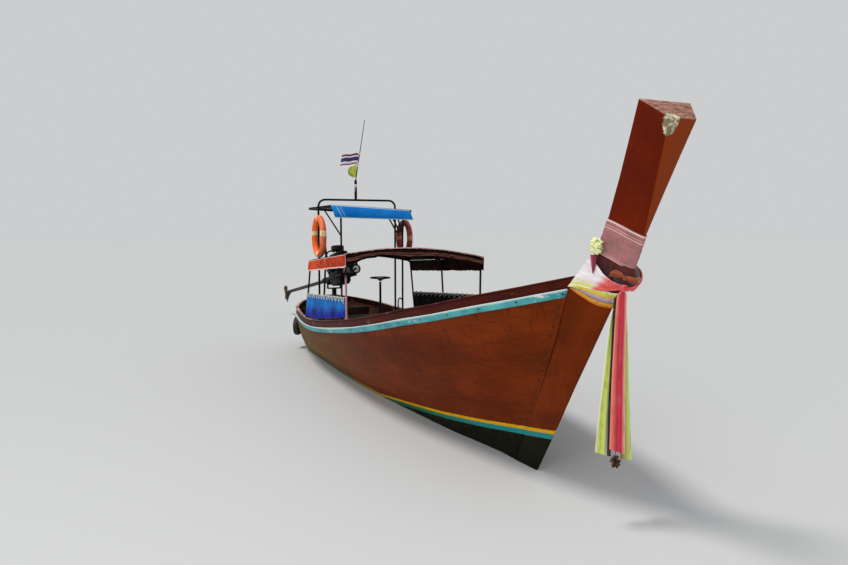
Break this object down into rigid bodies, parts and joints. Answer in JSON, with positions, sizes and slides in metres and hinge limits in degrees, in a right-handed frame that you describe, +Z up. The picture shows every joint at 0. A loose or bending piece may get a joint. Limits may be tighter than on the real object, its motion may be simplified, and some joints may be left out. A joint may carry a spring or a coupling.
{
  "type": "longtail boat",
  "caption": "Wooden longtail boat with a tall raked prow, cloth sash, canopied benches, wheel helm and a swivelling engine that drives a propeller on a long shaft.",
  "frame": {"origin": "on the centreline and on the waterline, amidships, where the hull floats", "axes": "+X to the bow, +Y to port, +Z up, square to the water"},
  "size_m": [13.5612, 1.9858, 4.3417],
  "materials": {
    "hull_paint": "weathered orange-brown varnish paint over planks",
    "dark_red_paint": "dark red-brown paint, scuffed",
    "teal_paint": "pale teal paint with white chips",
    "bare_wood": "bare weathered hardwood",
    "deck_wood": "worn deck boards",
    "steel": "dark painted steel with rust",
    "bright_steel": "bare steel, dulled",
    "cast_iron": "oily dark cast iron",
    "bronze": "worn bronze",
    "tube_paint": "dark paint on steel tube",
    "roof_cloth": "red-brown tarpaulin",
    "orange_cloth": "orange tarpaulin valance",
    "blue_cloth": "blue tarpaulin",
    "blue_board": "painted blue board, blank",
    "dark_cloth": "dark grey tarpaulin",
    "ring_orange": "orange plastic shell",
    "ring_faded": "faded red plastic shell",
    "rubber": "black grip rubber",
    "tyre": "old black tyre",
    "sash_cloth": "pink, coral and yellow-green ribbon cloth",
    "wrap_cloth": "faded mauve-pink cloth",
    "flag_cloth": "striped flag cloth"
  },
  "bodies": {
    "hull": {"keel": "hull_paint", "stern_post": "hull_paint", "stem_post": "hull_paint", "bottom_planks_port": "hull_paint", "bottom_planks_starboard": "hull_paint", "side_planks_port": "hull_paint", "side_planks_starboard": "hull_paint", "rub_rail_port": "teal_paint", "rub_rail_starboard": "teal_paint", "coaming_port": "dark_red_paint", "coaming_starboard": "dark_red_paint", "cap_rail_port": "dark_red_paint", "cap_rail_starboard": "dark_red_paint", "frames": "bare_wood", "sole": "deck_wood", "foredeck": "deck_wood", "aft_deck": "deck_wood", "thwart_1": "deck_wood", "thwart_2": "deck_wood", "thwart_3": "deck_wood", "thwart_4": "deck_wood", "thwart_5": "deck_wood", "engine_bed": "bare_wood", "spindle": "steel", "canopy_side_port": "tube_paint", "canopy_side_starboard": "tube_paint", "canopy_bow_1": "tube_paint", "canopy_bow_2": "tube_paint", "canopy_bow_3": "tube_paint", "canopy_roof": "roof_cloth", "valance_port": "dark_cloth", "valance_starboard": "orange_cloth", "side_board_port": "dark_cloth", "side_curtain_starboard": "blue_cloth", "helm_hoop": "tube_paint", "helm_roof_frame": "tube_paint", "helm_roof": "tube_paint", "visor": "blue_board", "mast": "tube_paint", "flag": "flag_cloth", "life_ring_port": "ring_faded", "life_ring_starboard": "ring_orange", "steering_column": "tube_paint", "tyre_fender": "tyre", "prow_wrap": "wrap_cloth", "sash_wrap": "sash_cloth", "sash_tails": "sash_cloth"},
    "helm": {"steering_wheel": "rubber"},
    "swivel": {"swivel_head": "steel"},
    "engine": {"engine_cradle": "steel", "engine_block": "cast_iron", "engine_head": "cast_iron", "air_cleaner": "steel", "exhaust": "steel", "alternator": "bright_steel", "front_pulley": "bright_steel", "tiller": "steel", "tail_tube": "steel"},
    "propeller": {"propeller": "bronze"}
  },
  "joints": [
    {"name": "helm_turn", "type": "hinge", "parent": "hull", "child": "helm", "pos_m": [-1.25, 0.2, 1.405], "axis": [0, 0, 1], "range_deg": [-540, 540]},
    {"name": "engine_swivel", "type": "hinge", "parent": "hull", "child": "swivel", "pos_m": [-3.35, 0, 1], "axis": [0, 0, 1], "range_deg": [-40, 40]},
    {"name": "engine_tilt", "type": "hinge", "parent": "swivel", "child": "engine", "pos_m": [-3.35, 0, 1.16], "axis": [0, 1, 0], "range_deg": [-9, 8]},
    {"name": "propeller_spin", "type": "hinge", "parent": "engine", "child": "propeller", "pos_m": [-8.14694, 0, 0.54061], "axis": [0.9893, 0, 0.1461], "continuous": true}
  ]
}
